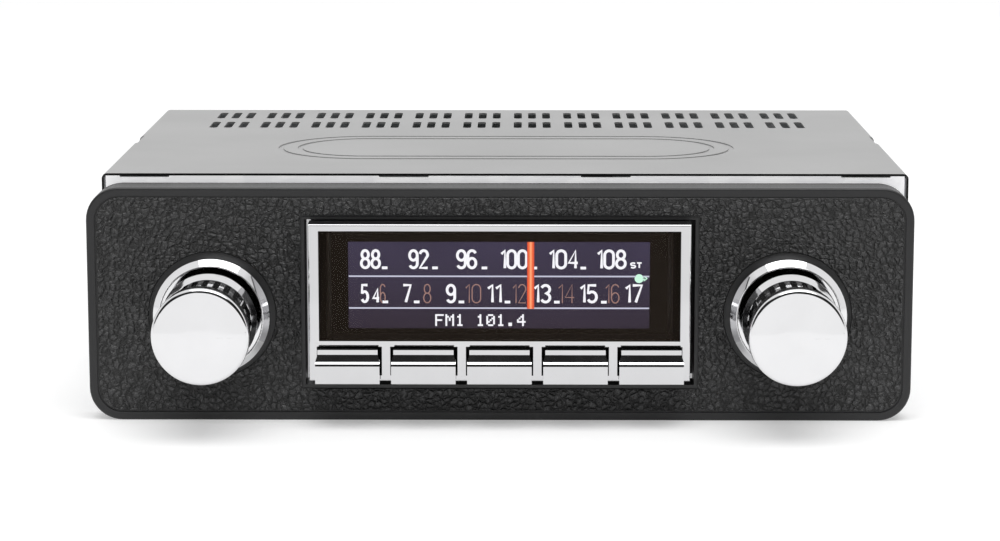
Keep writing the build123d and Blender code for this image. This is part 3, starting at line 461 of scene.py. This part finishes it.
MATERIALS = {
    "black_textured_plastic": plate_plastic(),
    "satin_steel": cover_steel(),
    "chrome": chrome("polished_chrome"),
    "bezel_chrome": chrome("moulded_chrome", roughness=0.06, colour=(0.60, 0.60, 0.61)),
    "black_plastic": plastic("black_plastic", (0.014, 0.014, 0.015)),
    "white_plastic": plastic("white_plastic", (0.72, 0.72, 0.69), roughness=0.4),
    "zinc_steel": zinc_sheet("zinc_sheet", srgb(176, 178, 181), srgb(204, 205, 207), metallic=0.75),
    # Painted light: the front panel's near-white zinc glows, lifting the strip of it that shows in the shaded
    # gap under the cover.
    "zinc_with_painted_light": zinc_sheet("zinc_with_painted_light", srgb(232, 232, 234), srgb(250, 250, 250), metallic=0.05, glow=0.45),
    "tinted_lens": lens_acrylic(),
    "display": lcd_glass(),
    "screw_steel": metal("screw_steel", (0.62, 0.62, 0.60), 0.28),
    "circuit_board": circuit_board(),
    "switch_metal": metal("switch_metal", (0.55, 0.55, 0.55), 0.35),
    "tin_plate": metal("tin_plate", (0.70, 0.70, 0.68), 0.30),
    "black_aluminium": metal("black_aluminium", (0.045, 0.045, 0.048), 0.38),
    "nickel": chrome("nickel_plate", roughness=0.12, colour=(0.66, 0.62, 0.56)),
    "brass": metal("turned_brass", (0.72, 0.52, 0.22), 0.25),
    "shaft_steel": metal("shaft_steel", (0.55, 0.55, 0.56), 0.22),
    "spring_steel": metal("spring_steel", (0.45, 0.45, 0.47), 0.30),
    "fuse_plastic": plastic("fuse_plastic", (0.55, 0.09, 0.01), roughness=0.2),
    "ribbon": plastic("ribbon_grey", (0.35, 0.36, 0.38)),
    "capacitor_sleeve": plastic("capacitor_sleeve", (0.01, 0.02, 0.07), roughness=0.25),
}


def dress(node, material_name):
    """Gives a CAD node its material."""
    slots = NODES[node].data.materials
    slots.clear()
    slots.append(MATERIALS[material_name])


for part in frame["record"]["subparts"]:
    dress(part["node"], part["material_slot"])
for node in ["chrome_bezel"] + [f"preset_button_{number}" for number in PRESETS]:
    dress(node, "bezel_chrome")
# Painted light: the front panel gets the glowing near-white zinc.
dress("front_panel", "zinc_with_painted_light")

scene = bpy.context.scene
scene.view_settings.view_transform = "Standard"


def mesh_piece(name, builder, material):
    """Turns a finished bmesh into an object in the scene."""
    mesh = bpy.data.meshes.new(name)
    builder.to_mesh(mesh)
    builder.free()
    mesh.materials.append(material)
    piece = bpy.data.objects.new(name, mesh)
    scene.collection.objects.link(piece)
    return piece


# ---- The picture on the display: scales, pointer and band line ----
# Characters are drawn in a cell one unit wide and two units high.

def arc(centre_x, centre_z, radius_x, radius_z, start, stop, steps=10):
    """Points along part of an ellipse, with angles in degrees."""
    angles = [math.radians(start + (stop - start) * i / steps) for i in range(steps + 1)]
    return [(centre_x + radius_x * math.cos(a), centre_z + radius_z * math.sin(a)) for a in angles]


SIX = [
    arc(0.5, 0.56, 0.5, 0.56, 0, 360, 20),
    [(0, 0.56), (0, 1.45)] + arc(0.5, 1.5, 0.5, 0.5, 180, 25),
]
STROKES = {
    "0": [arc(0.5, 1.5, 0.5, 0.5, 0, 180) + arc(0.5, 0.5, 0.5, 0.5, 180, 360) + [(1.0, 1.5)]],
    "1": [[(0.0, 1.62), (0.4, 2.0), (0.4, 0.0)]],
    "2": [arc(0.5, 1.5, 0.5, 0.5, 165, -15) + [(0.0, 0.0), (1.0, 0.0)]],
    "3": [arc(0.5, 1.52, 0.48, 0.48, 155, -90) + arc(0.5, 0.52, 0.5, 0.52, 90, -155)],
    "4": [[(0.75, 0.0), (0.75, 2.0), (0.0, 0.6), (1.0, 0.6)]],
    "5": [[(0.95, 2.0), (0.12, 2.0), (0.05, 1.1)] + arc(0.5, 0.62, 0.5, 0.62, 130, -150)],
    "6": SIX,
    "7": [[(0.0, 2.0), (1.0, 2.0), (0.35, 0.0)]],
    "8": [arc(0.5, 1.52, 0.42, 0.48, 0, 360, 20), arc(0.5, 0.53, 0.5, 0.53, 0, 360, 20)],
    "9": [[(1 - x, 2 - z) for x, z in stroke] for stroke in SIX],
    "S": [arc(0.5, 1.5, 0.5, 0.5, 30, 270) + arc(0.5, 0.5, 0.5, 0.5, 90, -150)],
    "T": [[(0.5, 0.0), (0.5, 2.0)], [(0.0, 2.0), (1.0, 2.0)]],
}
NARROW = {"1": 0.4}
LETTER_GAP = 0.34


def lay_out(text, left, right, bottom, top, stroke):
    """The strokes of some text, stretched to fill a box given in millimetres, stroke width included."""
    left, right = left + stroke / 2, right - stroke / 2
    bottom, top = bottom + stroke / 2, top - stroke / 2
    widths = [NARROW.get(letter, 1.0) for letter in text]
    unit = (right - left) / (sum(widths) + LETTER_GAP * (len(text) - 1))
    lines = []
    for letter, width in zip(text, widths):
        for points in STROKES[letter]:
            lines.append([(left + x * unit, bottom + z / 2 * (top - bottom)) for x, z in points])
        left += (width + LETTER_GAP) * unit
    return lines


def fix_to_display(piece):
    """A piece of the picture belongs to the case."""
    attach(piece, "case")


def draw_lines(name, lines, stroke, material, raised=0.0):
    """One curve piece on the display's front, with all the lines given as points in millimetres."""
    curve = bpy.data.curves.new(name, "CURVE")
    curve.dimensions = "3D"
    curve.bevel_depth = stroke / 2 * MM
    curve.bevel_resolution = 2
    curve.use_fill_caps = True
    for points in lines:
        spline = curve.splines.new("POLY")
        spline.points.add(len(points) - 1)
        for target, (x, z) in zip(spline.points, points):
            target.co = (LCD_X + x * MM, LCD_FRONT - raised * MM, z * MM, 1.0)
    curve.materials.append(material)
    piece = bpy.data.objects.new(name, curve)
    scene.collection.objects.link(piece)
    fix_to_display(piece)


def draw_tiles(name, tiles, material, thickness, rim):
    """One mesh piece of flat tiles with sloping rims; each tile is (left, right, bottom, top) in millimetres."""
    builder = bmesh.new()
    for left, right, bottom, top in tiles:
        rings = []
        for inset, raised in ((0.0, 0.0), (0.0, thickness - rim), (rim, thickness)):
            corners = (
                (left + inset, bottom + inset),
                (right - inset, bottom + inset),
                (right - inset, top - inset),
                (left + inset, top - inset),
            )
            front = LCD_FRONT - raised * MM
            rings.append([builder.verts.new((LCD_X + x * MM, front, z * MM)) for x, z in corners])
        for lower, upper in zip(rings, rings[1:]):
            for i in range(4):
                builder.faces.new((lower[i], lower[(i + 1) % 4], upper[(i + 1) % 4], upper[i]))
        builder.faces.new(rings[-1])
        builder.faces.new(rings[0][::-1])
    bmesh.ops.recalc_face_normals(builder, faces=builder.faces)
    fix_to_display(mesh_piece(name, builder, material))


white_glow = glowing("scale_white", srgb(246, 248, 255), strength=1.15)
brown_glow = glowing("scale_brown", srgb(158, 124, 118))
line_glow = glowing("scale_line", srgb(205, 208, 230))
dot_glow = glowing("tuned_dot", srgb(206, 255, 232), strength=1.1)

# Rows are (bottom, top) and labels are (text, left, right), in millimetres from the panel's middle.
FM_ROW = (34.2, 38.6)
FM_LABELS = (
    ("88", -30.25, -25.7), ("92", -19.8, -15.3), ("96", -9.45, -4.85),
    ("100", 0.13, 6.1), ("104", 10.6, 17.2), ("108", 21.0, 27.5),
)
FM_DASHES = (-25.5, -14.6, -3.9, 6.9, 17.5)
AM_ROW = (26.7, 31.0)
AM_LABELS = (
    ("5", -30.25, -28.3), ("7", -21.2, -19.0), ("9", -11.7, -9.45), ("11", -2.8, 0.5),
    ("13", 7.3, 11.2), ("15", 17.3, 21.3), ("17", 27.1, 31.1),
)
AM_SMALL_LABEL = ("4", -27.7, -25.9)
AM_SMALL_ROW = (AM_ROW[0], AM_ROW[0] + 3.4)
AM_DIM_LABELS = (
    ("6", -26.0, -24.7), ("8", -16.6, -14.8), ("10", -7.45, -4.0), ("12", 2.8, 5.8),
    ("14", 12.7, 16.3), ("16", 22.9, 26.0),
)
AM_DASHES = (-25.4, -18.6, -8.9, 1.1, 11.8, 22.0)
STEREO_LABEL = ("ST", 28.2, 30.9)
STEREO_ROW = (34.4, 35.8)
DASH = 1.2
BOLD, MEDIUM, FINE, THIN = 0.60, 0.50, 0.34, 0.26
RULE_LEFT, RULE_RIGHT = -32.7, 32.4
RULE_HEIGHTS = (32.65, 25.65)
TUNED_DOT = (30.2, 32.2)
TUNED_DOT_RADIUS = 0.5
TUNED_DOT_STROKE = 1.2
TUNED_ARROW = [(31.3, 32.7), (31.9, 32.2), (31.3, 31.7), (31.3, 32.2)]
POINTER_BOTTOM = 25.56

bold_lines = []
for row, labels, dashes in ((FM_ROW, FM_LABELS, FM_DASHES), (AM_ROW, AM_LABELS, AM_DASHES)):
    for text, left, right in labels:
        bold_lines += lay_out(text, left, right, *row, BOLD)
    for left in dashes:
        bold_lines.append([(left, row[0] + BOLD / 2), (left + DASH, row[0] + BOLD / 2)])
bold_lines += lay_out(*AM_SMALL_LABEL, *AM_SMALL_ROW, MEDIUM)
draw_lines("scale_figures", bold_lines, BOLD, white_glow)

dim_lines = []
for text, left, right in AM_DIM_LABELS:
    dim_lines += lay_out(text, left, right, *AM_ROW, THIN)
draw_lines("scale_dim_figures", dim_lines, THIN, brown_glow, raised=0.05)
draw_lines("stereo_mark", lay_out(*STEREO_LABEL, *STEREO_ROW, FINE), FINE, white_glow)

rules = [[(RULE_LEFT, z), (RULE_RIGHT, z)] for z in RULE_HEIGHTS]
draw_lines("scale_rules", rules, FINE, line_glow)
dot_line = arc(*TUNED_DOT, TUNED_DOT_RADIUS, TUNED_DOT_RADIUS, 0, 360, 24)
draw_lines("tuned_dot", [dot_line], TUNED_DOT_STROKE, dot_glow, raised=-0.3)
draw_lines("tuned_arrow", [TUNED_ARROW], FINE, dot_glow)

pointer_tile = ((POINTER_LEFT - LCD_X) / MM, (POINTER_RIGHT - LCD_X) / MM, POINTER_BOTTOM, ACTIVE_TOP / MM)
draw_tiles("tuning_pointer", [pointer_tile], pointer_glow(), thickness=0.33, rim=0.05)

# Each character of the band line is 5 dots wide and 7 high.
DOT_FONT = {
    "F": ("11111", "10000", "10000", "11110", "10000", "10000", "10000"),
    "M": ("10001", "11011", "10101", "10101", "10001", "10001", "10001"),
    "0": ("01110", "10001", "10011", "10101", "11001", "10001", "01110"),
    "1": ("00100", "01100", "00100", "00100", "00100", "00100", "01110"),
    "4": ("00010", "00110", "01010", "10010", "11111", "00010", "00010"),
    ".": ("00000", "00000", "00000", "00000", "00000", "01100", "01100"),
    " ": ("00000",) * 7,
}
BAND_TEXT = "FM1 101.4"
BAND_LEFT, BAND_TOP = -14.0, 24.3
DOT_PITCH = 0.37
DOT_LENGTH = 1.06 * DOT_PITCH
DOTS_PER_CHARACTER = 6

band_dots = []
for character, letter in enumerate(BAND_TEXT):
    for row, bits in enumerate(DOT_FONT[letter]):
        for column, bit in enumerate(bits):
            if bit == "1":
                left = BAND_LEFT + (DOTS_PER_CHARACTER * character + column) * DOT_PITCH
                top = BAND_TOP - row * DOT_PITCH
                band_dots.append((left, left + DOT_LENGTH, top - DOT_PITCH, top))
draw_tiles("band_line", band_dots, white_glow, thickness=0.1, rim=0.03)


# ---- Return springs, drawn as coils ----

def coil(name, turns, wire, steps=24, sides=8):
    """A closed helical tube along Y that fills the box of a CAD spring."""
    low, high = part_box(name)
    centre = (low + high) / 2
    radius = (high.x - low.x) / 2 - wire
    rise = high.y - low.y - 2 * wire
    slope = rise / (2 * math.pi * turns)
    builder = bmesh.new()
    rings = []
    for step in range(turns * steps + 1):
        angle = 2 * math.pi * step / steps
        outwards = Vector((math.cos(angle), 0.0, math.sin(angle)))
        start = Vector((centre.x, low.y + wire + rise * step / (turns * steps), centre.z))
        middle = start + radius * outwards
        along = Vector((-radius * outwards.z, slope, radius * outwards.x)).normalized()
        across = along.cross(outwards)
        ring = []
        for side in range(sides):
            turn = 2 * math.pi * side / sides
            offset = wire * (math.cos(turn) * outwards + math.sin(turn) * across)
            ring.append(builder.verts.new(middle + offset))
        rings.append(ring)
    for first, second in zip(rings, rings[1:]):
        for i in range(sides):
            after = (i + 1) % sides
            face = builder.faces.new((first[i], first[after], second[after], second[i]))
            face.smooth = True
    builder.faces.new(rings[0])
    builder.faces.new(rings[-1])
    bmesh.ops.recalc_face_normals(builder, faces=builder.faces)
    return mesh_piece(name + "_coil", builder, MATERIALS["spring_steel"])


def fit_spring(name, turns, wire):
    """Puts a coil in place of a CAD spring, on the same body as the spring."""
    piece = coil(name, turns, wire)
    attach(piece, NODES[name]["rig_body"])
    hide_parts(name)
    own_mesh(piece)


for side in SIDES:
    fit_spring(f"{side}_push_spring", turns=3, wire=0.25 * MM)
for number in PRESETS:
    fit_spring(f"preset_spring_{number}", turns=4, wire=0.22 * MM)


# ---- Stage, light and camera ----

FLOOR_REACH = 6.0
FLOOR_NEAR_SIDE = (-0.216, -0.213)      # where the paper turns a little darker, towards the front
FLOOR_LIFT = 0.5                        # light that the paper gives, so that shadows stay pale
KEY_PLACE = (0.1, -0.45, 1.3)
KEY_SIZE = (1.2, 1.0)
KEY_WATTS = 11.0
CAMERA_PLACE = (5.06, -697.9, 143.4)    # millimetres
CAMERA_LENS = 107.08
CAMERA_DOWN = 9.784                     # degrees
CAMERA_TURN = 0.45


def make_floor():
    """A pale paper floor, a touch darker on its near side, which the chrome mirrors."""
    material, tree, shader = new_material("studio_paper")
    point = place(tree)
    near_side = remap(tree, parts_of(tree, point)[1], *FLOOR_NEAR_SIDE, 1.0, 0.0)
    paper = blend_colour(tree, noise(tree, point, 3.0), grey(0.67), grey(0.69))
    paper = blend_colour(tree, near_side, paper, grey(0.635))
    fill(shader, {
        "Base Color": paper,
        "Emission Color": paper,
        "Emission Strength": FLOOR_LIFT,
        "Roughness": 0.9,
    })
    builder = bmesh.new()
    signs = ((-1, -1), (1, -1), (1, 1), (-1, 1))
    builder.faces.new([builder.verts.new((x * FLOOR_REACH, y * FLOOR_REACH, 0.0)) for x, y in signs])
    mesh_piece("studio_floor", builder, material)


def make_world():
    """A white studio with a dark opening in front, from just above the floor to halfway up."""
    world = bpy.data.worlds.new("studio_world")
    world.use_nodes = True
    tree = world.node_tree
    direction = put(tree, "ShaderNodeTexCoord").outputs["Generated"]
    forward, up = parts_of(tree, direction)[1:3]
    above = remap(tree, up, 0.02, 0.06)
    below = remap(tree, up, 0.66, 0.76, 1.0, 0.0)
    ahead = remap(tree, forward, -0.30, -0.15, 1.0, 0.0)
    opening = calc(tree, "MULTIPLY", ahead, calc(tree, "MULTIPLY", above, below))
    fill(tree.nodes["Background"], {0: blend_colour(tree, opening, grey(1.0), grey(0.025)), 1: 1.0})
    scene.world = world


def make_key_light():
    """One large soft lamp above and in front, pointing at the radio."""
    data = bpy.data.lights.new("key_above", "AREA")
    data.shape = "RECTANGLE"
    data.size, data.size_y = KEY_SIZE
    data.energy = KEY_WATTS
    light = bpy.data.objects.new("key_above", data)
    light.location = KEY_PLACE
    light.rotation_euler = (-Vector(KEY_PLACE)).to_track_quat("-Z", "Y").to_euler()
    scene.collection.objects.link(light)


def make_camera():
    """A long lens in front and a little above, looking down at the radio."""
    data = bpy.data.cameras.new("camera")
    data.sensor_width = 36.0
    data.lens = CAMERA_LENS
    camera = bpy.data.objects.new("camera", data)
    camera.location = [part * MM for part in CAMERA_PLACE]
    camera.rotation_euler = (math.radians(90 - CAMERA_DOWN), 0.0, math.radians(CAMERA_TURN))
    scene.collection.objects.link(camera)
    scene.camera = camera


make_floor()
make_world()
make_key_light()
make_camera()
